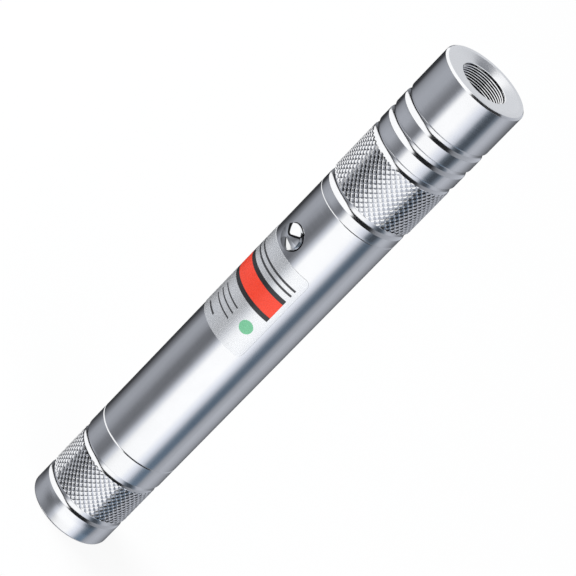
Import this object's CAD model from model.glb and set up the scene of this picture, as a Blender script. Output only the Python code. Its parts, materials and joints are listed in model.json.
# %% [markdown]
# # A metal laser pointer for the camera
#
# The solids of this pointer were drawn in a CAD program, and they load here as a fixed frame that
# nothing in this file moves. This lesson dresses them: it models the knurled pieces that the solids
# leave plain, gives every piece the finish that it has on the real pointer, and lights the whole.
# It starts by loading the frame and by keeping the box that the solids fill.

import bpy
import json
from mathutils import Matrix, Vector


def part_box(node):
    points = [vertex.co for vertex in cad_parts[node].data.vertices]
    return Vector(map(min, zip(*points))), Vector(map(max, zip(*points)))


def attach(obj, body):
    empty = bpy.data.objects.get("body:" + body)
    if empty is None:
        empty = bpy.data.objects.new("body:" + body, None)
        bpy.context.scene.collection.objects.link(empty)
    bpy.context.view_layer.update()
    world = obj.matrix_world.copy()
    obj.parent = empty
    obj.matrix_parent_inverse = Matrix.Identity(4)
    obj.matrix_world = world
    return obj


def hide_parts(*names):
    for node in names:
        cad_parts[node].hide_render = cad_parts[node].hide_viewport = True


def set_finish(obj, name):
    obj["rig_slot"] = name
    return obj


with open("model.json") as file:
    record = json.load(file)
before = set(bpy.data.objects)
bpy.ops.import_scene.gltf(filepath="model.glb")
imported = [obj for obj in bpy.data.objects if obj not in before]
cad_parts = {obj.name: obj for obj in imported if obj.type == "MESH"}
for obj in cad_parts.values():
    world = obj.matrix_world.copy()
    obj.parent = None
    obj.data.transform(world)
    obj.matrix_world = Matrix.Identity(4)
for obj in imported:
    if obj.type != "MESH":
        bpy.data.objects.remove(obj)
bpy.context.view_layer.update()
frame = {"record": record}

# %% [markdown]
# ## Working in millimetres
#
# Blender counts in metres, and a turned part is drawn in millimetres, so one function turns one into
# the other. The places below lie along the beam, from the flat end of the tail (0) to the front face.
# They could be typed as numbers wherever they are needed, but then a groove and the knurl next to it
# could drift apart, so each is worked out once, from what the solids measure.

# %% Places along the beam
import json
import math

import bmesh
import bpy
from mathutils import Quaternion, Vector


def mm(length):
    """A length in millimetres, as Blender's metres."""
    return length / 1000


head_low, head_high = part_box("focus_head")
tail_low, tail_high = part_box("tail_cap")
front_seam = head_low.z * 1000
front_end = head_high.z * 1000
tail_seam = tail_high.z * 1000
tube_radius = 11.4
tail_radius = 11.3
head_radius = 11.6
groove_width = 2.4
knurl_depth = 0.30
head_grooves = (front_seam + 2.8, front_seam + 18.9, front_seam + 24.7, front_seam + 30.5)
tail_grooves = (6.2, 20.0)
print("tail seam", round(tail_seam, 2), "front seam", round(front_seam, 2), "front", round(front_end, 2))

# %% [markdown]
# ## The camera
#
# The photograph looks at the pointer from its front right, 26 degrees above its side, through a long
# lens, and it is rolled until the beam points to the upper right. Perspective is weak but not absent:
# the head is drawn a little larger than the tail. A long lens far away gives just that. The camera
# is placed by its angles round the pointer, turned to look at a point on the axis, and then rolled
# about its own line of sight.

# %% Camera
camera_turn = math.radians(38.6)
camera_lift = math.radians(26.1)
camera_roll = math.radians(44.2)
camera_distance = 0.8487
aim_height = mm(84.85)
aim_aside = mm(0.43)
to_camera = Vector((
    math.sin(camera_turn) * math.cos(camera_lift),
    -math.cos(camera_turn) * math.cos(camera_lift),
    math.sin(camera_lift),
))
across = Vector((math.cos(camera_turn), math.sin(camera_turn), 0))
aim = Vector((0, 0, aim_height)) + across * aim_aside

bpy.ops.object.select_all(action="DESELECT")
bpy.ops.object.camera_add(location=aim + to_camera * camera_distance)
camera = bpy.context.object
camera.name = "camera"
camera.data.lens = 225
camera.data.sensor_width = 36
camera.data.clip_start = 0.05
camera.data.clip_end = 20
camera.rotation_mode = "QUATERNION"
camera.rotation_quaternion = (-to_camera).to_track_quat("-Z", "Y") @ Quaternion((0, 0, 1), camera_roll)
bpy.context.scene.camera = camera
bpy.context.scene.view_settings.view_transform = "Standard"
print("camera at", [round(c, 3) for c in camera.location])

# %% [markdown]
# ## Colours and nodes
#
# Every colour in this file is written as people write it for a screen, in sRGB hex, and Blender's
# shaders want linear light, so one function converts. A second small function adds a node, sets what
# is given and links what is given. Blender's names for these nodes all start with ShaderNode, so it
# takes the rest of the name, and a material then reads as a short recipe. Two more functions give a
# colour ramp its stops and start a material.

# %% Colour and node helpers


def linear(hex_colour):
    """An sRGB hex colour as the linear RGBA that a shader socket takes."""
    values = []
    for start in (1, 3, 5):
        value = int(hex_colour[start:start + 2], 16) / 255
        values.append(value / 12.92 if value <= 0.04045 else ((value + 0.055) / 1.055) ** 2.4)
    return (*values, 1.0)


def add_node(tree, kind, inputs, **settings):
    """Adds a node. An input is a value, a socket, or another node, which gives its first output."""
    node = tree.nodes.new("ShaderNode" + kind)
    for name, value in settings.items():
        setattr(node, name, value)
    for name, value in inputs.items():
        if isinstance(value, bpy.types.Node):
            value = value.outputs[0]
        if isinstance(value, bpy.types.NodeSocket):
            tree.links.new(value, node.inputs[name])
        else:
            node.inputs[name].default_value = value
    return node


def set_ramp(node, stops):
    """Gives a colour ramp its stops, each a place from 0 to 1 and a linear colour."""
    ramp = node.color_ramp
    while len(ramp.elements) > 1:
        ramp.elements.remove(ramp.elements[-1])
    ramp.elements[0].position, ramp.elements[0].color = stops[0]
    for place, colour in stops[1:]:
        ramp.elements.new(place).color = colour


def new_material(name):
    """An empty material, its tree, and the place on the piece that its patterns follow."""
    material = bpy.data.materials.new(name)
    material.use_nodes = True
    tree = material.node_tree
    tree.nodes.clear()
    return material, tree, add_node(tree, "TexCoord", {}).outputs["Object"]


print("mid grey #808080 is", round(linear("#808080")[0], 3), "in linear light")

# %% [markdown]
# ## The studio round the metal
#
# Bare metal has no look of its own: it shows what stands round it. Such cards and lights could be
# modelled, but then they stand in the way when the camera moves, so here they are part of the world,
# and mirrored rays read them by their direction. A ramp once round the beam gives the cards of each
# height. A few more ramps give the heights where they begin and end on each side.

# %% Ramps round the beam
world = bpy.data.worlds.new("studio")
bpy.context.scene.world = world
world.use_nodes = True
studio = world.node_tree
studio.nodes.clear()
neutral, pale, cool, slate, dark_slate = "#ffffff", "#f9fbff", "#f1f5ff", "#c3e0ff", "#d9eaff"
around = add_node(studio, "TexCoord", {}).outputs["Generated"]
turned_view = add_node(studio, "Mapping", {
    "Vector": around, "Rotation": (0, 0, math.radians(90) - camera_turn),
})
turn = add_node(studio, "TexGradient", {"Vector": turned_view}, gradient_type="RADIAL")
height = add_node(studio, "SeparateXYZ", {"Vector": around}).outputs["Z"]


def round_ramp(*stops):
    """A ramp once round the beam. A stop is an angle from the camera, a brightness and perhaps a tint."""
    ramp = add_node(studio, "ValToRGB", {"Fac": turn.outputs["Fac"]})
    set_ramp(ramp, [
        (0.5 + angle / 360, tuple(bright * part for part in linear(tint[0] if tint else cool)[:3]) + (1.0,))
        for angle, bright, *tint in stops
    ])
    return ramp


def height_over(*stops):
    """How far a view is over a line round the beam. A stop is an angle and a sine over the horizon."""
    # a ramp holds 0 to 1, so the sines are halved and lifted, and the view's height is too
    line = round_ramp(*[(angle, 0.5 + 0.5 * sine, neutral) for angle, sine in stops])
    halved = add_node(studio, "Math", {0: height, 1: 0.5, 2: 0.5}, operation="MULTIPLY_ADD")
    return add_node(studio, "Math", {0: halved, 1: line}, operation="SUBTRACT")


print("the ramps begin behind, at", round(math.degrees(camera_turn) - 180, 1), "degrees")

# %% [markdown]
# ## The cards at the sides
#
# The photograph tells what stood there. A wide white light was in front, with a slate card to its right
# and grey cards round the sides and behind. The plain sides of the tail, the tube and the head are at
# different places and mirror slightly different parts of that, so each has a ramp of its own, and they
# follow each other in height.

# %% Side cards
tube_cards = round_ramp(
    (-180, 0.30), (-172, 0.05), (-146, 0.05), (-124, 0.21), (-108, 0.41), (-92, 0.42), (-76, 0.33),
    (-62, 0.19), (-46, 0.17), (-36, 0.27), (-24, 0.78), (-13, 1.16, neutral), (30, 1.16, neutral),
    (44, 0.98), (53, 0.68), (61, 0.32, dark_slate), (69, 0.19, slate), (79, 0.19, slate), (88, 0.36),
    (98, 0.50), (112, 0.53), (128, 0.44), (146, 0.30), (164, 0.14), (180, 0.30),
)
head_cards = round_ramp(
    (-180, 0.12), (-172, 0.03), (-140, 0.05), (-124, 0.28), (-108, 0.40), (-88, 0.47), (-66, 0.47),
    (-54, 0.36), (-42, 0.24), (-32, 0.21), (-24, 0.52), (-14, 1.12, neutral), (18, 1.12, neutral),
    (36, 0.92), (46, 0.68), (54, 0.20, dark_slate), (63, 0.085, dark_slate), (73, 0.09, dark_slate),
    (82, 0.24, dark_slate), (90, 0.50), (102, 0.57), (114, 0.50), (130, 0.33), (150, 0.18), (170, 0.10),
    (180, 0.30),
)
tail_cards = round_ramp(
    (-180, 0.30), (-172, 0.07), (-146, 0.13), (-124, 0.26), (-108, 0.39), (-92, 0.42), (-76, 0.37),
    (-62, 0.275), (-46, 0.21), (-36, 0.29), (-24, 0.64), (-13, 0.86, neutral), (-3, 1.05, neutral),
    (30, 1.10, neutral), (44, 0.98), (53, 0.72), (61, 0.39, dark_slate), (69, 0.29, slate),
    (79, 0.30, slate), (88, 0.40), (98, 0.49), (112, 0.52), (128, 0.44), (146, 0.30), (164, 0.14),
    (180, 0.30),
)
print(len(tube_cards.color_ramp.elements), "stops round the tube")

# %% [markdown]
# ## Over and under the sides
#
# The side cards ended at some height. Over them hung black cloth on the right and a white card on the
# left, with a thin black gap between, and right overhead was a skylight, which shows in the flanks of
# the thread in the mouth. Low down, a light from the left and a grey ground show in the broken edges and
# in the walls of the grooves.

# %% High and low cards
gap = round_ramp(
    (-180, 0.64), (-160, 0.30), (-130, 0.015), (50, 0.015), (62, 0.25), (90, 0.42), (120, 0.50),
    (150, 0.62), (180, 0.64),
)
high_cards = round_ramp(
    (-180, 0.75, pale), (-170, 0.80, pale), (-152, 1.10, neutral), (-10, 1.16, neutral), (-4, 0.015),
    (52, 0.015), (66, 0.22), (96, 0.44), (130, 0.56), (155, 0.66, pale), (170, 0.75, pale),
    (180, 0.75, pale),
)
top_cards = round_ramp(
    (-180, 1.16, neutral), (-10, 1.16, neutral), (-4, 0.015), (135, 0.015), (155, 0.26), (180, 0.30),
)
low_light = round_ramp(
    (-180, 0.02), (-140, 0.05), (-128, 0.16), (-98, 0.20), (-88, 0.05), (-76, 0.05), (-68, 1.0, neutral),
    (-40, 1.0, neutral), (-28, 0.06), (-5, 0.06), (12, 0.34), (135, 0.50), (155, 0.03), (180, 0.02),
)
low_cards = round_ramp(
    (-180, 0.20), (-50, 0.20), (-20, 0.25), (20, 0.50), (135, 0.50), (155, 0.20), (180, 0.20),
)
over_sides = height_over(
    (-180, -0.20), (-140, -0.22), (-101, -0.26), (-57, -0.19), (-38, -0.05), (-22, 0.22), (-11, 0.36),
    (0, 0.37), (50, 0.30), (70, 0.25), (110, 0.0), (180, -0.20),
)
over_high = height_over(
    (-180, 0.57), (-160, 0.66), (104, 0.66), (112, 0.90), (160, 0.90), (168, 0.57), (180, 0.57),
)
over_top = height_over(
    (-180, 1.0), (-4, 1.0), (-2, 0.955), (30, 0.95), (60, 0.91), (90, 0.82), (110, 0.70), (122, 0.62),
    (126, 1.0), (180, 1.0),
)
print("the studio has", len(studio.nodes), "nodes so far")

# %% [markdown]
# ## Laying the studio together
#
# The layers are laid over each other from the tail's cards on, each with a soft edge between two heights.
# Only mirrored rays read the result. The camera and clear glass see plain white, as the photograph's
# ground is, and the soft surfaces get an even grey light.

# %% World
white = (1, 1, 1, 1)
skylight = (0.84, 0.86, 0.88, 1)
room_light = (0.56, 0.57, 0.58, 1)
layers = (  # what is measured, where the layer begins and where it is full, and what it shows
    (height, -0.502, -0.494, tube_cards),
    (height, -0.412, -0.396, head_cards),
    (over_sides, -0.010, 0.010, gap),
    (over_sides, 0.095, 0.115, high_cards),
    (over_high, -0.012, 0.012, top_cards),
    (over_top, -0.006, 0.006, skylight),
    (height, -0.66, -0.69, low_light),
    (height, -0.86, -0.89, low_cards),
)
mirrored = tail_cards
for measured, begins, full, cards in layers:
    share = add_node(studio, "MapRange", {
        "Value": measured, "From Min": begins, "From Max": full,
    }, interpolation_type="SMOOTHSTEP")
    mirrored = add_node(studio, "MixRGB", {"Fac": share, "Color1": mirrored, "Color2": cards})


def seen_rays(tree):
    """1 for rays from the camera, through glass or off metal, and 1 for those off metal alone."""
    path = add_node(tree, "LightPath", {})
    plain = add_node(tree, "Math", {
        0: path.outputs["Is Camera Ray"], 1: path.outputs["Is Transmission Ray"],
    }, operation="MAXIMUM")
    off_metal = path.outputs["Is Glossy Ray"]
    return add_node(tree, "Math", {0: plain, 1: off_metal}, operation="MAXIMUM"), off_metal


seen, off_metal = seen_rays(studio)
background = add_node(studio, "MixRGB", {"Fac": off_metal, "Color1": white, "Color2": mirrored})
world_colour = add_node(studio, "MixRGB", {"Fac": seen, "Color1": room_light, "Color2": background})
world_light = add_node(studio, "Background", {"Color": world_colour, "Strength": 1.0})
add_node(studio, "OutputWorld", {"Surface": world_light})
print("the studio has", len(layers) + 1, "layers and", len(studio.nodes), "nodes")

# %% [markdown]
# ## The floor and the lamps
#
# The pointer stands on its tail on a pale matt board. The photograph's ground is pure white, so most
# of what the camera sees of the board is given to it as white light, and the rest is the real matt
# board, which keeps a soft shadow at the tail. The metal already mirrors the studio above, so the
# board is left out of mirrored rays. Two large lamps, above to the left and low on the right, light
# the soft surfaces at a plain level and cast that shadow.

# %% Floor
bpy.ops.object.select_all(action="DESELECT")
bpy.ops.mesh.primitive_circle_add(vertices=96, radius=1.6, fill_type="NGON", location=(0, 0, -mm(0.02)))
floor = bpy.context.object
floor.name = "floor"
floor.visible_glossy = False
white_share = 0.88  # of what is seen of the board; the rest is the matt board with its shadow
board_fibre = 900.0  # fibres about 1 mm apart
board, tree, place = new_material("matt_board")
fibre = add_node(tree, "TexNoise", {"Vector": place, "Scale": board_fibre, "Detail": 3.0})
relief = add_node(tree, "Bump", {"Height": fibre, "Strength": 0.1, "Distance": mm(0.05)})
matt = add_node(tree, "BsdfDiffuse", {"Color": linear("#fafafa"), "Normal": relief})
white_glow = add_node(tree, "Emission", {"Color": white, "Strength": 1.0})
seen, off_metal = seen_rays(tree)
share = add_node(tree, "Math", {0: seen, 1: white_share}, operation="MULTIPLY")
mixed = add_node(tree, "MixShader", {"Fac": share, 1: matt, 2: white_glow})
add_node(tree, "OutputMaterial", {"Surface": mixed})
floor.data.materials.append(board)
floor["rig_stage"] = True
print("floor", round(floor.dimensions.x, 2), "m across")

# %% Lamps


def add_lamp(name, place, size, watts):
    """A square soft lamp that points at the middle of the pointer and isn't mirrored in it."""
    bpy.ops.object.light_add(type="AREA", location=place)
    lamp = bpy.context.object
    lamp.name = name
    lamp.data.shape = "SQUARE"
    lamp.data.size = size
    lamp.data.energy = watts
    lamp.rotation_mode = "QUATERNION"
    lamp.rotation_quaternion = (Vector((0, 0, mm(80))) - Vector(place)).to_track_quat("-Z", "Y")
    lamp.visible_glossy = False
    print(name, watts, "W")


add_lamp("key_lamp", place=(-0.89, -0.28, 0.95), size=0.7, watts=10.0)
add_lamp("side_lamp", place=(0.85, -0.35, 0.35), size=0.6, watts=3.5)

# %% [markdown]
# ## Tools for modelling by hand
#
# The operators of Blender act on what is selected, so each step first clears the selection and then
# selects in code, by place. Three small tools do that. One selects vertices in edit mode and one
# selects edges. The third finishes a piece, so that it sits at the origin, has smooth faces with
# sharp corners kept, and rides on the body that it belongs to.

# %% Selecting and finishing
near = 0.02  # mm: places closer than this are the same


def select_vertices(piece, wanted):
    """In edit mode, selects just the vertices whose radius and height (mm) and angle pass a test."""
    bpy.ops.mesh.select_mode(type="VERT")
    bpy.ops.mesh.select_all(action="DESELECT")
    mesh = bmesh.from_edit_mesh(piece.data)
    count = 0
    for vertex in mesh.verts:
        x, y, z = vertex.co * 1000
        if wanted(math.hypot(x, y), z, math.atan2(y, x)):
            vertex.select_set(True)
            count += 1
    mesh.select_flush(True)
    bmesh.update_edit_mesh(piece.data)
    return count


def select_edges(piece, wanted):
    """In edit mode, selects just the edges whose two ends (radius, height in mm) pass a test."""
    bpy.ops.mesh.select_mode(type="EDGE")
    bpy.ops.mesh.select_all(action="DESELECT")
    mesh = bmesh.from_edit_mesh(piece.data)
    count = 0
    for edge in mesh.edges:
        ends = [(math.hypot(v.co.x, v.co.y) * 1000, v.co.z * 1000) for v in edge.verts]
        if wanted(ends[0], ends[1]):
            edge.select_set(True)
            count += 1
    bmesh.update_edit_mesh(piece.data)
    return count


def finish_piece(piece, body, slot, replaced, smooth_angle=30):
    """Back to object mode, smooth shading with its corners kept, and the piece told what it is."""
    if bpy.context.mode != "OBJECT":
        bpy.ops.object.mode_set(mode="OBJECT")
    bpy.ops.object.select_all(action="DESELECT")
    piece.select_set(True)
    bpy.context.view_layer.objects.active = piece
    bpy.ops.object.transform_apply(location=True, rotation=True, scale=True)
    bpy.ops.object.shade_smooth_by_angle(angle=math.radians(smooth_angle))
    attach(piece, body)
    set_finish(piece, slot)
    if replaced:
        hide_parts(replaced)
    triangles = sum(len(face.vertices) - 2 for face in piece.data.polygons)
    print(piece.name, triangles, "triangles, rides on", body)


print("places closer than", near, "mm count as the same")

# %% [markdown]
# ## Turning a piece on the lathe
#
# The cap and the head are turned parts: one outline, spun once round the beam. A cylinder with cut
# grooves would need many steps, and a lathe outline is how the real part is drawn too. The outline is
# made by hand from one vertex that is extruded from corner to corner, and the spin tool turns it.

# %% Lathe
knurl_around = 46
lathe_steps = 2 * knurl_around


def drawn(name, outline):
    """A new piece in edit mode: one vertex, extruded from corner (radius, height in mm) to corner."""
    bpy.ops.object.select_all(action="DESELECT")
    bpy.ops.mesh.primitive_plane_add(size=mm(1), location=(0, 0, 0))
    piece = bpy.context.object
    piece.name = name
    bpy.ops.object.mode_set(mode="EDIT")
    bpy.ops.mesh.merge(type="CENTER")
    bpy.ops.transform.translate(value=(mm(outline[0][0]), 0, mm(outline[0][1])))
    for here, there in zip(outline, outline[1:]):
        bpy.ops.mesh.extrude_vertices_move(TRANSFORM_OT_translate={
            "value": (mm(there[0] - here[0]), 0, mm(there[1] - here[1])),
        })
    bpy.ops.mesh.select_all(action="SELECT")
    bpy.ops.mesh.remove_doubles(threshold=1e-6)
    return piece


def turned(name, outline, steps):
    """Draws an outline and spins it once round Z."""
    piece = drawn(name, outline)
    bpy.ops.mesh.spin(steps=steps, angle=math.tau, center=(0, 0, 0), axis=(0, 0, 1))
    bpy.ops.mesh.select_all(action="SELECT")
    bpy.ops.mesh.remove_doubles(threshold=1e-6)
    bpy.ops.mesh.normals_make_consistent(inside=False)
    return piece


def groove(radius_before, radius_after, base):
    """The corners of one scooped groove: a hollow slope that ends at a steeper front wall."""
    depth = 0.75
    slope_length = 1.76
    slope_steps = 8
    corner = 0.03
    bottom = min(radius_before, radius_after) - depth
    slope = []
    for step in range(slope_steps + 1):
        along = step / slope_steps
        slope.append((bottom + (radius_before - bottom) * (1 - along) ** 2, base + slope_length * along))
    end = base + groove_width
    return slope + [(radius_after - corner, end - corner), (radius_after, end)]


def break_corners(piece, heights, least_radius, width):
    """Rounds the ring edges at these heights and outside this radius, as a file does (all in mm)."""
    found = select_edges(piece, lambda a, b: (
        abs(a[1] - b[1]) < 0.001 and abs(a[0] - b[0]) < 0.001 and a[0] > least_radius
        and any(abs(a[1] - height) < 0.004 for height in heights)
    ))
    bpy.ops.mesh.bevel(offset=mm(width), segments=2, affect="EDGES", profile=0.5)
    print(piece.name, found // lathe_steps, "corners broken")


print("lathe steps", lathe_steps, "- one knurl diamond is",
      round(math.tau * head_radius / knurl_around, 2), "mm round the head")

# %% [markdown]
# ## Knurling a band
#
# A knurl is two sets of slanting cuts that cross and leave rows of diamonds with flat tops. It could be
# faked with a bump pattern, but the photograph shows each cut catch its own light, so it is real shape
# here. The plain band is cut into a grid of half a diamond. Every second grid point is lifted and the
# others are pressed in, like the fields of a chessboard, and each square then folds along its low
# corners into pyramids with 45 degree sides. Last the tips are bevelled off flat at the full radius,
# because a knurling wheel rolls its cuts into a finished surface and leaves most of it standing.

# %% Knurl


def knurl(piece, radius, low, high, half_rows):
    """Turns the plain band between two heights (mm) into half rows of flat-topped diamonds."""
    bars = select_edges(piece, lambda a, b: (
        abs(a[0] - radius) < near and abs(b[0] - radius) < near
        and min(a[1], b[1]) < low + near and max(a[1], b[1]) > high - near
    ))
    bpy.ops.mesh.subdivide(number_cuts=half_rows - 1)
    across_step = math.tau * radius / lathe_steps
    along_step = (high - low) / half_rows
    side_height = across_step * along_step / math.hypot(across_step, along_step)

    def between_ends(z):
        return low - near / 2 < z < high + near / 2

    def in_band(r, z, angle):
        return abs(r - radius) < near and between_ends(z)

    def is_tip(r, z, angle):
        return in_band(r, z, angle) and (
            round(angle / math.tau * lathe_steps) + round((z - low) / along_step)
        ) % 2 == 0

    select_vertices(piece, lambda r, z, angle: in_band(r, z, angle) and not is_tip(r, z, angle))
    pressed = (radius - knurl_depth) / radius
    bpy.ops.transform.resize(value=(pressed, pressed, 1), center_override=(0, 0, 0))
    select_vertices(piece, in_band)
    lifted = (radius - knurl_depth + side_height) / radius
    bpy.ops.transform.resize(value=(lifted, lifted, 1), center_override=(0, 0, 0))
    select_vertices(piece, lambda r, z, angle: (
        radius - knurl_depth - near < r < radius + side_height and between_ends(z)
    ))
    bpy.ops.mesh.quads_convert_to_tris(quad_method="SHORTEST_DIAGONAL", ngon_method="BEAUTY")
    tips = select_vertices(piece, lambda r, z, angle: r > radius + 0.2 and between_ends(z))
    cut = 1 - knurl_depth / side_height
    bpy.ops.mesh.bevel(
        offset=mm(cut * math.hypot(along_step, side_height)), offset_type="OFFSET", segments=1,
        affect="VERTICES",
    )
    print(piece.name, bars, "bars and", tips, "knurl tips,", round(2 * along_step, 2), "mm apart")


print("a knurl cut is", knurl_depth, "mm deep")

# %% [markdown]
# ## Winding a thread
#
# A thread is one tooth, wound up along the bore. The tooth's outline is drawn as a closed loop with a
# rounded crest, the screw modifier turns it round the beam and lifts it by one pitch a turn, and the
# two open ends are filled. Its foot is sunk a little into the wall that carries it, so no gap shows.

# %% Thread


def add_thread(name, foot_radius, crest_radius, foot_width, crest_width, low, pitch, turns, steps):
    """Winds one tooth (mm) up a bore, from its middle height at low."""
    rounded_from = crest_radius + 0.12 * (foot_radius - crest_radius)
    tooth = [
        (foot_radius, low - foot_width / 2), (rounded_from, low - crest_width / 2),
        (crest_radius, low - crest_width / 4), (crest_radius, low + crest_width / 4),
        (rounded_from, low + crest_width / 2), (foot_radius, low + foot_width / 2),
    ]
    piece = drawn(name, tooth + tooth[:1])
    bpy.ops.object.mode_set(mode="OBJECT")
    winding = piece.modifiers.new("winding", "SCREW")
    winding.axis = "Z"
    winding.screw_offset = mm(pitch)
    winding.iterations = turns
    winding.steps = winding.render_steps = steps
    bpy.ops.object.modifier_apply(modifier=winding.name)
    bpy.ops.object.mode_set(mode="EDIT")
    bpy.ops.mesh.select_all(action="SELECT")
    bpy.ops.mesh.fill_holes(sides=len(tooth))
    bpy.ops.mesh.select_all(action="SELECT")
    bpy.ops.mesh.normals_make_consistent(inside=False)
    return piece


# %% [markdown]
# ## The focus head
#
# The head is the broad knurled end that the user turns. From the seam it has a short plain band, a
# groove, the knurl, three more grooves with two rings between them, and a smooth bell. Its front face
# is a flat ring and then a shallow cone down to the threaded mouth. Inside, a step holds the lens and
# a wide bore clears the laser module. The sharp corners are broken by a tiny bevel, as a lathe hand
# breaks them with a file, and that bevel is what draws the thin bright line along each edge.

# %% Focus head
mouth_top = front_end - 0.45
thread_low = mouth_top - 5.5
window_low = thread_low - 1.3
mouth_bore = 6.28
window_bore = 5.6
gasket_bore = 8.6
collar_bore = 10.07
collar_bore_end = 120.19
face_ring = 10.0
bell_edge = 0.5
seam_edge = 0.12
head_outline = [
    (collar_bore, front_seam), (tube_radius - seam_edge, front_seam), (tube_radius, front_seam + seam_edge),
]
head_outline += groove(tube_radius, head_radius, head_grooves[0])
for base in head_grooves[1:]:
    head_outline += groove(head_radius, head_radius, base)
head_outline += [
    (head_radius, front_end - bell_edge), (head_radius - bell_edge, front_end), (face_ring, front_end),
    (mouth_bore + 0.14, mouth_top - 0.15), (mouth_bore, mouth_top - 0.27), (mouth_bore, thread_low),
    (window_bore, thread_low), (window_bore, window_low), (gasket_bore, window_low),
    (gasket_bore, collar_bore_end), (collar_bore, collar_bore_end), (collar_bore, front_seam),
]
head = turned("focus_head_shell", head_outline, lathe_steps)
break_corners(head, [
    head_grooves[0], head_grooves[2], head_grooves[3], front_end - bell_edge, front_end,
], least_radius=8.8, width=0.07)
knurl(head, head_radius, head_grooves[0] + groove_width, head_grooves[1], half_rows=17)
finish_piece(head, "focus_end", "aluminium_shell", "focus_head", smooth_angle=12)
thread = add_thread(
    "head_inner_thread", foot_radius=10.12, crest_radius=9.75, foot_width=0.62, crest_width=0.20,
    low=front_seam + 2.775, pitch=0.75, turns=7, steps=66,
)
finish_piece(thread, "focus_end", "aluminium_shell", None)

# %% [markdown]
# ## The thread in the mouth
#
# The mouth has a fine female thread for a screw-in cap. In the photograph it shows as a stack of thin
# rings, black and white by turns. Plain rings would look nearly the same, but a real helix is as easy
# with the thread tool. Its crest is narrow, so dark roots show between the bright turns.

# %% Mouth thread
thread = add_thread(
    "mouth_thread", foot_radius=6.30, crest_radius=6.0, foot_width=0.58, crest_width=0.14,
    low=thread_low + 0.7, pitch=0.6, turns=7, steps=lathe_steps,
)
finish_piece(thread, "focus_end", "aluminium_shell", None)

# %% [markdown]
# ## The tail cap
#
# The cap is turned and knurled like the head, and closed at its end. It screws over the tube's
# spigot, so it is hollow, with a thread inside that shows only when it is turned out.

# %% Tail cap
end_round = 0.5
cap_edge = 0.3
cap_bore = 10.57
cap_bore_end = 22.59
cell_bore = 9.5
cap_floor = 4.0
tail_outline = [(0, 0), (tail_radius - end_round, 0)]
for degrees in range(10, 91, 10):
    angle = math.radians(degrees)
    tail_outline.append((
        tail_radius - end_round + end_round * math.sin(angle), end_round - end_round * math.cos(angle),
    ))
tail_outline += groove(tail_radius, tail_radius, tail_grooves[0])
tail_outline += groove(tail_radius, tube_radius, tail_grooves[1])
tail_outline += [
    (tube_radius, tail_seam - cap_edge), (tube_radius - cap_edge, tail_seam), (cap_bore, tail_seam),
    (cap_bore, cap_bore_end), (cell_bore, cap_bore_end), (cell_bore, cap_floor), (0, cap_floor),
]
cap = turned("tail_cap_shell", tail_outline, lathe_steps)
break_corners(cap, [tail_grooves[0]], least_radius=11.0, width=0.07)
knurl(cap, tail_radius, tail_grooves[0] + groove_width, tail_grooves[1], half_rows=14)
finish_piece(cap, "tail_end", "aluminium_shell", "tail_cap", smooth_angle=12)
thread = add_thread(
    "cap_inner_thread", foot_radius=10.62, crest_radius=10.2, foot_width=0.68, crest_width=0.21,
    low=22.84, pitch=0.8, turns=4, steps=66,
)
finish_piece(thread, "tail_end", "aluminium_shell", None)

# %% [markdown]
# ## The push button
#
# The button is a turned and polished cap under the thumb, and it stands a little proud of the tube. Its
# reflections in the photograph meet near the middle in sectors, so the dome isn't a part of a ball: it
# falls away soon from its middle, nearly straight, and turns down faster near the rim. A formula for
# the slope gives that outline, and the lathe turns it. Below the rim are the flange that keeps the cap
# in and the boss that presses the switch. All of it is turned round Z and then laid on its side.

# %% Push button
button_low, button_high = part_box("power_button")
button_place = (button_low.z + button_high.z) / 2
button_top = -button_low.y * 1000 + 0.5
boss_bottom = -button_high.y * 1000
boss_radius = 1.6
flange_bottom = boss_bottom + 0.4
flange_top = flange_bottom + 0.9
flange_radius = (button_high.x - button_low.x) * 500
button_radius = 3.28
edge_round = 0.25
rim = button_radius - edge_round
dome_steps = 24
button_outline = []
fall = 0
for step in range(dome_steps + 1):
    radius = rim * step / dome_steps
    button_outline.append((radius, button_top - fall))
    middle = radius + rim / dome_steps / 2
    slope = 0.31 * (1 - math.exp(-middle / 0.55)) + 0.20 * (middle / rim) ** 1.5
    fall += rim / dome_steps * slope
rim_height = button_outline[-1][1]
button_outline += [
    (button_radius - 0.29 * edge_round, rim_height - 0.35 * edge_round),
    (button_radius, rim_height - edge_round), (button_radius, flange_top), (flange_radius, flange_top),
    (flange_radius, flange_bottom), (boss_radius, flange_bottom), (boss_radius, boss_bottom),
    (0, boss_bottom),
]
button = turned("button_cap", button_outline, steps=72)
bpy.ops.object.mode_set(mode="OBJECT")
button.rotation_euler = (math.radians(90), 0, 0)
button.location = (0, 0, button_place)
finish_piece(button, "button", "button_chrome", "power_button")
print("the dome falls", round(button_top - rim_height, 2), "mm to its rim")

# %% [markdown]
# ## Turned metals
#
# Aluminium, brass and steel differ in colour and in how their surface was made. A turned surface has
# fine feed marks round the part, so light is spread along the beam and stays sharp across it, which
# draws the long clean stripes of the photograph. The marks are drawn as noise that changes only along
# the beam, in roughness and as a very low bump, and the spread itself is the shader's anisotropy.
# Real feed marks are 0.05 to 0.1 mm apart, too fine for this picture, so they are drawn at 0.3 mm.
# Oil and dust also stay in places that no cloth reaches: the roots of the mouth's thread and the narrow
# bevel round the button. A mask darkens the shell there, worked out from the distance to two lines.

# %% Turned metal recipe
grime_colour = linear("#2a2a2c")
feed_mark = 0.3
wear_cloud = 160.0  # clouds about 6 mm across


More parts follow.
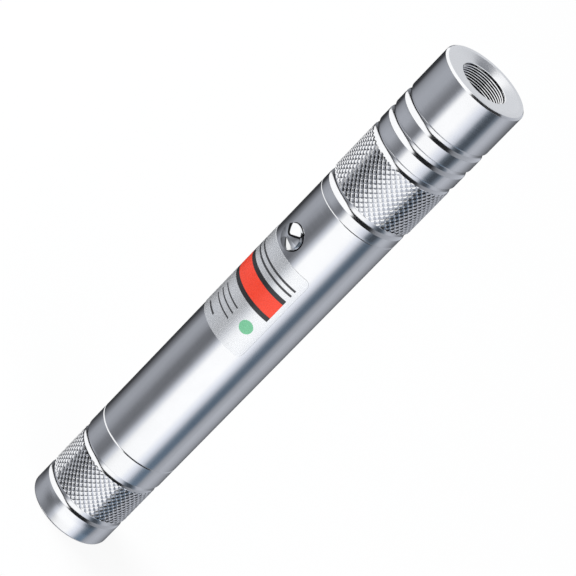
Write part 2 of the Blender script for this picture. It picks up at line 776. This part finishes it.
def shell_grime(tree, place):
    """1 in the roots of the mouth's thread and in the bevel round the button, where grime stays."""
    mouth_half = 2.45  # half the length that is threaded
    on_front = -mm(9)  # only the button's side of the tube
    parts = add_node(tree, "SeparateXYZ", {"Vector": place})

    def ring(middle, across_line, inner, outer, soft):
        """1 between two distances (mm) from a line through middle; across_line is 0 along the line."""
        moved = add_node(tree, "VectorMath", {0: place, 1: middle}, operation="SUBTRACT")
        flat = add_node(tree, "VectorMath", {0: moved, 1: across_line}, operation="MULTIPLY")
        away = add_node(tree, "VectorMath", {0: flat}, operation="LENGTH")
        inside = add_node(tree, "MapRange", {
            "Value": away.outputs["Value"], "From Min": mm(inner - soft), "From Max": mm(inner + soft),
        })
        outside = add_node(tree, "MapRange", {
            "Value": away.outputs["Value"], "From Min": mm(outer), "From Max": mm(outer + soft),
            "To Min": 1.0, "To Max": 0.0,
        })
        return add_node(tree, "Math", {0: inside, 1: outside}, operation="MULTIPLY")

    in_mouth = add_node(tree, "Math", {
        0: parts.outputs["Z"], 1: mm(thread_low + mouth_half), 2: mm(mouth_half),
    }, operation="COMPARE")
    by_button = add_node(tree, "Math", {0: parts.outputs["Y"], 1: on_front}, operation="LESS_THAN")
    roots = add_node(tree, "Math", {
        0: ring((0, 0, 0), (1, 1, 0), 6.165, 6.40, 0.025), 1: in_mouth,
    }, operation="MULTIPLY")
    bevel = add_node(tree, "Math", {
        0: ring((0, 0, button_place), (1, 0, 1), 3.3, 3.5, 0.05), 1: by_button,
    }, operation="MULTIPLY")
    return add_node(tree, "Math", {0: roots, 1: bevel}, operation="MAXIMUM")


def turned_metal(name, colour, roughness, spread, anisotropy, bump, grime=None):
    """A metal with feed marks along the beam, a cloudy wear and perhaps some grime."""
    material, tree, place = new_material(name)
    along = add_node(tree, "SeparateXYZ", {"Vector": place})
    scaled = add_node(tree, "Math", {0: along.outputs["Z"], 1: 1000 / feed_mark}, operation="MULTIPLY")
    marks = add_node(tree, "TexNoise", {
        "W": scaled, "Scale": 1.0, "Detail": 2.0, "Roughness": 0.6,
    }, noise_dimensions="1D")
    clouds = add_node(tree, "TexNoise", {
        "Vector": place, "Scale": wear_cloud, "Detail": 5.0, "Roughness": 0.65,
    })
    both = add_node(tree, "MixRGB", {"Fac": 0.5, "Color1": marks, "Color2": clouds})
    rough = add_node(tree, "MapRange", {
        "Value": both, "From Min": 0.3, "From Max": 0.7,
        "To Min": roughness - spread, "To Max": roughness + spread,
    })
    tint = add_node(tree, "ValToRGB", {"Fac": clouds})
    base = linear(colour)
    set_ramp(tint, [(0.3, tuple(0.96 * part for part in base[:3]) + (1,)), (0.7, base)])
    tinted = tint
    if grime:
        tinted = add_node(tree, "MixRGB", {
            "Fac": grime(tree, place), "Color1": tinted, "Color2": grime_colour,
        })
    relief = add_node(tree, "Bump", {"Height": marks, "Strength": bump, "Distance": mm(0.01)})
    tangent = add_node(tree, "Tangent", {}, direction_type="RADIAL", axis="Z")
    shader = add_node(tree, "BsdfPrincipled", {
        "Base Color": tinted, "Metallic": 1.0, "Roughness": rough,
        "Anisotropic": anisotropy, "Normal": relief, "Tangent": tangent,
    })
    add_node(tree, "OutputMaterial", {"Surface": shader})
    return material


print("turned marks are drawn", feed_mark, "mm apart")

# %% [markdown]
# ## Plated and drawn metals
#
# Springs, cans and screws inside are drawn or pressed from sheet and wire, and then plated with nickel.
# Plating has no feed marks. It is bright, a little cloudy where it has been handled, and it carries short
# scratches in all directions, so two noises give the cloud and the scratches, both in roughness.

# %% Plated metal recipe
handling_cloud = 350.0  # clouds about 3 mm across


def plated_metal(name, colour, dull_colour, roughness, spread, scratch_length):
    """A plated metal with handling clouds and short scratches (length in mm)."""
    material, tree, place = new_material(name)
    clouds = add_node(tree, "TexNoise", {
        "Vector": place, "Scale": handling_cloud, "Detail": 4.0, "Roughness": 0.6,
    })
    scratches = add_node(tree, "TexVoronoi", {
        "Vector": place, "Scale": 1000 / scratch_length, "Randomness": 1.0,
    }, feature="DISTANCE_TO_EDGE")
    scratched = add_node(tree, "MapRange", {
        "Value": scratches, "From Min": 0.0, "From Max": 0.06, "To Min": 1.0, "To Max": 0.0,
    })
    both = add_node(tree, "Math", {0: scratched, 1: 0.35, 2: clouds}, operation="MULTIPLY_ADD")
    rough = add_node(tree, "MapRange", {
        "Value": both, "From Min": 0.3, "From Max": 1.0,
        "To Min": roughness - spread, "To Max": roughness + spread,
    })
    tint = add_node(tree, "ValToRGB", {"Fac": clouds})
    set_ramp(tint, [(0.35, linear(dull_colour)), (0.6, linear(colour))])
    relief = add_node(tree, "Bump", {"Height": both, "Strength": 0.1, "Distance": mm(0.01)})
    shader = add_node(tree, "BsdfPrincipled", {
        "Base Color": tint, "Metallic": 1.0, "Roughness": rough, "Normal": relief,
    })
    add_node(tree, "OutputMaterial", {"Surface": shader})
    return material


print("plating is cloudy over", round(1000 / handling_cloud, 1), "mm")

# %% [markdown]
# ## Moulded, cast and printed surfaces
#
# Rubber, plastics, card and solder mask are not metal: they take their colour from inside, and differ in
# gloss and grain. One recipe serves all of them, with the grain's real size in millimetres: a spark
# eroded mould leaves 0.2 mm grains, card has long fibres, and shrink film has hardly any grain at all.
# The colour is mixed with a paler, dusty one in clouds, as handling and dust leave it.

# %% Moulded recipe
dust_cloud = 220.0  # clouds about 4.5 mm across


def moulded(name, colour, worn_colour, roughness, spread, grain, bump, stretch=1.0):
    """A plastic, rubber or card with grain (mm), longer along the beam by stretch, and dusty clouds."""
    material, tree, place = new_material(name)
    laid = add_node(tree, "Mapping", {"Vector": place, "Scale": (1, 1, 1 / stretch)})
    fine = add_node(tree, "TexNoise", {
        "Vector": laid, "Scale": 1000 / grain, "Detail": 3.0, "Roughness": 0.6,
    })
    clouds = add_node(tree, "TexNoise", {
        "Vector": place, "Scale": dust_cloud, "Detail": 4.0, "Roughness": 0.65,
    })
    tint = add_node(tree, "ValToRGB", {"Fac": clouds})
    set_ramp(tint, [(0.38, linear(colour)), (0.72, linear(worn_colour))])
    rough = add_node(tree, "MapRange", {
        "Value": fine, "From Min": 0.3, "From Max": 0.7,
        "To Min": roughness - spread, "To Max": roughness + spread,
    })
    relief = add_node(tree, "Bump", {"Height": fine, "Strength": bump, "Distance": mm(0.03)})
    shader = add_node(tree, "BsdfPrincipled", {
        "Base Color": tint, "Roughness": rough, "Normal": relief, "IOR": 1.5,
    })
    add_node(tree, "OutputMaterial", {"Surface": shader})
    return material


print("dust lies in clouds of", round(1000 / dust_cloud, 1), "mm")

# %% [markdown]
# ## The circuit boards
#
# A board is glass cloth under a green lacquer. The copper runs under the lacquer show as a brighter green,
# in straight lines a third of a millimetre wide. A brick pattern with long bricks draws such runs, where
# a drawn layout would be far more work for a piece that is seen only when the pointer is taken apart.

# %% Circuit board recipe
cloth_thread = 0.4


def lacquered_board(name):
    """Green solder mask over copper runs that a brick pattern lays out."""
    material, tree, place = new_material(name)
    turned_place = add_node(tree, "Mapping", {"Vector": place, "Rotation": (math.radians(90), 0, 0)})
    runs = add_node(tree, "TexBrick", {
        "Vector": turned_place, "Scale": 1000.0,  # the sizes below are then in mm
        "Brick Width": 3.4, "Row Height": 1.1, "Mortar Size": 0.16, "Mortar Smooth": 0.3,
        "Color1": linear("#0c4a22"), "Color2": linear("#0e5226"), "Mortar": linear("#1d7a3a"),
    }, offset=0.37, squash=0.8)
    weave = add_node(tree, "TexNoise", {"Vector": place, "Scale": 1000 / cloth_thread, "Detail": 2.0})
    raised = add_node(tree, "Math", {0: weave, 1: 0.2, 2: runs.outputs["Fac"]}, operation="MULTIPLY_ADD")
    relief = add_node(tree, "Bump", {"Height": raised, "Strength": 0.4, "Distance": mm(0.035)})
    rough = add_node(tree, "MapRange", {"Value": weave, "To Min": 0.22, "To Max": 0.42})
    shader = add_node(tree, "BsdfPrincipled", {
        "Base Color": runs, "Roughness": rough, "Normal": relief,
    })
    add_node(tree, "OutputMaterial", {"Surface": shader})
    return material


print("the glass cloth has a thread each", cloth_thread, "mm")

# %% [markdown]
# ## Glass, crystal and filter
#
# Polished optics are clear, and what the eye reads is the edge, the reflection and a trace of dust. The
# lens has a faint bloom from its coating, the crystal is pale violet, and the filter that stops the
# infrared is blue-green. The dust is a fine noise in the roughness, and the rest is the shader's own
# transmission and the index of the real material.

# %% Glass recipe
dust_speck = 1800.0  # specks about half a millimetre apart


def polished_glass(name, colour, dusty_colour, index, roughness):
    """A clear, tinted optic with a little dust."""
    material, tree, place = new_material(name)
    dust = add_node(tree, "TexNoise", {
        "Vector": place, "Scale": dust_speck, "Detail": 5.0, "Roughness": 0.7,
    })
    rough = add_node(tree, "MapRange", {
        "Value": dust, "From Min": 0.5, "From Max": 0.8, "To Min": roughness, "To Max": roughness + 0.15,
    })
    tint = add_node(tree, "ValToRGB", {"Fac": dust})
    set_ramp(tint, [(0.5, linear(colour)), (0.8, linear(dusty_colour))])
    shader = add_node(tree, "BsdfPrincipled", {
        "Base Color": tint, "Roughness": rough, "IOR": index, "Transmission Weight": 1.0,
    })
    add_node(tree, "OutputMaterial", {"Surface": shader})
    return material


print("dust specks are", round(1000 / dust_speck, 2), "mm apart")

# %% [markdown]
# ## The label
#
# The label is a metallised polyester film: satin silver, a little softer and paler than the metal under
# it, with inks printed on it. What is printed here is plain: a dark band with a red stripe in it, a green
# dot and a few thin rules, in colours and at a scale that suit such a pointer. An image would carry this,
# but a drawn pattern stays sharp at any distance. Each shape is a rounded field on the unrolled
# label, given by its middle, its half size and its corner: one distance per field, and a soft edge.

# %% Label film recipe
film_grain = 2600.0  # grains about 0.4 mm apart
film_cloud = 120.0  # clouds about 8 mm across
print_half_width = math.radians(50.7) * tube_radius
dot_place = math.radians(37.4) * tube_radius
dark_ink, red_ink, green_ink, grey_ink = "#2b2c2e", "#f6432a", "#77c297", "#3d3e41"


def label_film(name):
    """Satin metallised film with a plain printed design, laid out on the unrolled label in mm."""
    material, tree, place = new_material(name)
    parts = add_node(tree, "SeparateXYZ", {"Vector": place})
    towards = add_node(tree, "Math", {0: parts.outputs["Y"], 1: -1.0}, operation="MULTIPLY")
    angle = add_node(tree, "Math", {0: parts.outputs["X"], 1: towards}, operation="ARCTAN2")
    around = add_node(tree, "Math", {0: angle, 1: tube_radius}, operation="MULTIPLY")
    along = add_node(tree, "Math", {0: parts.outputs["Z"], 1: 1000.0}, operation="MULTIPLY")
    unrolled = add_node(tree, "CombineXYZ", {"X": around, "Y": along})

    def field(middle, half, corner):
        """1 inside a rounded field of the unrolled label, 0 outside it, with a soft edge."""
        moved = add_node(tree, "VectorMath", {0: unrolled, 1: (*middle, 0)}, operation="SUBTRACT")
        folded = add_node(tree, "VectorMath", {0: moved}, operation="ABSOLUTE")
        beyond = add_node(tree, "VectorMath", {
            0: folded, 1: (half[0] - corner, half[1] - corner, 0),
        }, operation="SUBTRACT")
        outside = add_node(tree, "VectorMath", {0: beyond, 1: (0, 0, 0)}, operation="MAXIMUM")
        distance = add_node(tree, "VectorMath", {0: outside}, operation="LENGTH")
        return add_node(tree, "MapRange", {
            "Value": distance.outputs["Value"], "From Min": corner - 0.05, "From Max": corner + 0.05,
            "To Min": 1.0, "To Max": 0.0,
        }, interpolation_type="SMOOTHSTEP")

    grain = add_node(tree, "TexNoise", {
        "Vector": place, "Scale": film_grain, "Detail": 3.0, "Roughness": 0.7,
    })
    clouds = add_node(tree, "TexNoise", {"Vector": place, "Scale": film_cloud, "Detail": 4.0})
    colour = add_node(tree, "ValToRGB", {"Fac": clouds})
    set_ramp(colour, [(0.3, linear("#eceef1")), (0.7, linear("#f5f6f8"))])
    inked = None
    # each print: its ink, its middle round the tube and along the beam, its half size and its corner
    prints = [
        (dark_ink, (0, 83.8), (print_half_width, 3.7), 0.1),
        (red_ink, (0, 83.8), (print_half_width, 2.4), 0.1),
        (green_ink, (dot_place, 75.5), (1.8, 1.8), 1.8),
    ]
    prints += [(grey_ink, (0, along_beam), (print_half_width, 0.3), 0.1) for along_beam in (89.3, 90.9)]
    prints += [(grey_ink, (-1.5, along_beam), (4.4, 0.22), 0.1) for along_beam in (73.4, 75.2, 77.0)]
    prints.append((grey_ink, (-3.4, 70.4), (2.5, 0.3), 0.1))
    for ink, middle, half, corner in prints:
        share = field(middle, half, corner)
        colour = add_node(tree, "MixRGB", {"Fac": share, "Color1": colour, "Color2": linear(ink)})
        if inked:
            share = add_node(tree, "Math", {0: inked, 1: share}, operation="MAXIMUM")
        inked = share
    metallic = add_node(tree, "MapRange", {"Value": inked, "To Min": 0.66, "To Max": 0.0})
    rough = add_node(tree, "MapRange", {
        "Value": grain, "From Min": 0.3, "From Max": 0.7, "To Min": 0.26, "To Max": 0.29,
    })
    relief = add_node(tree, "Bump", {"Height": grain, "Strength": 0.03, "Distance": mm(0.01)})
    shader = add_node(tree, "BsdfPrincipled", {
        "Base Color": colour, "Metallic": metallic, "Roughness": rough, "Normal": relief,
    })
    add_node(tree, "OutputMaterial", {"Surface": shader})
    print(name, "has", len(prints), "printed fields")
    return material


# %% [markdown]
# ## The finish of every piece
#
# The record names one finish for each piece. Here each of those gets its material, with the everyday name
# of what it is made of. The words before each line say what that gives the eye.

# %% Finishes
finishes = {
    # clear anodised and satin turned: bright silver, with long soft stripes
    "aluminium_shell": turned_metal(
        "satin_anodised_aluminium", "#f0f1f3", 0.13, 0.03, 0.4, 0.25, grime=shell_grime,
    ),
    # as it left the lathe: duller, with marks that catch the light
    "aluminium_inner": turned_metal("turned_aluminium", "#e9eaec", 0.28, 0.05, 0.5, 0.5),
    # free-cutting brass: warm yellow, turned
    "brass": turned_metal("turned_brass", "#e3c27a", 0.26, 0.05, 0.5, 0.5),
    # hard chrome on a polished dome: a mirror, with hardly a mark
    "button_chrome": plated_metal("polished_chrome", "#f4f5f6", "#eceef0", 0.035, 0.015, 4.0),
    # music wire and pressed sheet with nickel on it: grey and bright
    "spring_steel": plated_metal("nickel_plated_spring_steel", "#cfcdc8", "#b9b7b2", 0.22, 0.06, 2.0),
    # the deep drawn can of a cell: a soft even shine
    "cell_steel": plated_metal("nickel_plated_can_steel", "#d6d4cf", "#c4c2bd", 0.27, 0.07, 3.0),
    # pins and screws plated with a trace of gold: warm grey
    "trimmer_metal": plated_metal("gold_flashed_steel", "#dccf9f", "#c9b982", 0.25, 0.06, 1.0),
    # a bare drawn aluminium can: white metal, a little dull
    "capacitor_can": plated_metal("drawn_aluminium_can", "#dcdde0", "#c9cacd", 0.3, 0.06, 1.5),
    # nitrile rubber: near black and matt, with pale bloom
    "rubber": moulded("nitrile_rubber", "#161617", "#2b2b2c", 0.55, 0.08, 0.35, 0.25),
    # heat-shrunk film: deep blue and glossy, drawn long
    "cell_wrap": moulded("shrink_film", "#15366f", "#1d4382", 0.24, 0.05, 1.2, 0.12, 6.0),
    # pressed fibre card: off-white, with fibres
    "insulating_card": moulded("fibre_card", "#dedbd0", "#c9c5b6", 0.72, 0.08, 0.3, 0.5, 3.0),
    # glass-filled nylon from an eroded mould: black with a fine grain
    "black_plastic": moulded("moulded_nylon", "#1b1b1d", "#2f3033", 0.45, 0.09, 0.25, 0.4),
    # fired film on ceramic: dark and slightly glassy
    "resistor_ceramic": moulded("glazed_ceramic", "#232427", "#34363a", 0.32, 0.06, 0.2, 0.15),
    # the blue thermoplastic that trimmers are made of
    "trimmer_plastic": moulded("moulded_thermoplastic", "#2f4f9e", "#4362ae", 0.38, 0.07, 0.25, 0.25),
    # silicone lead sleeves: soft sheen
    "red_insulation": moulded("red_silicone_sleeve", "#b3201a", "#c23d35", 0.42, 0.07, 0.3, 0.2, 4.0),
    "black_insulation": moulded("black_silicone_sleeve", "#1a1a1b", "#303032", 0.42, 0.07, 0.3, 0.2, 4.0),
    # lacquer over copper and glass cloth: glossy green, with brighter runs
    "circuit_board": lacquered_board("solder_mask_on_glass_cloth"),
    # metallised film: a paler and softer silver than the metal, with flat inks
    "label_film": label_film("metallised_polyester_film"),
    # crown glass with a bloom coating, the doped crystal, and the blue-green filter glass
    "clear_glass": polished_glass("coated_crown_glass", "#f2f5fa", "#d8dde6", 1.52, 0.02),
    "laser_crystal": polished_glass("doped_crystal", "#cbbdea", "#b7a9d6", 1.82, 0.02),
    "filter_glass": polished_glass("filter_glass", "#9fd3dc", "#8bbfc8", 1.53, 0.02),
}
print(len(finishes), "finishes")

# %% [markdown]
# ## Dressing every piece
#
# A solid that keeps its own shape takes the finish that the record names for it, and a new piece takes
# the one that it was given above. The materials go into the slots that each mesh has already, so the
# meshes of the solids stay as they are.

# %% Give each solid and piece its finish
slots = {part["node"]: part["material_slot"] for part in frame["record"]["subparts"]}
pieces = [item for item in bpy.context.scene.objects if item.type == "MESH" and not item.get("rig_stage")]
for piece in pieces:
    finish = finishes[piece.get("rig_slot") or slots[piece.name]]
    if not piece.material_slots:
        piece.data.materials.append(finish)
    for material_slot in piece.material_slots:
        material_slot.material = finish
print(len(pieces), "solids and pieces have their finish")
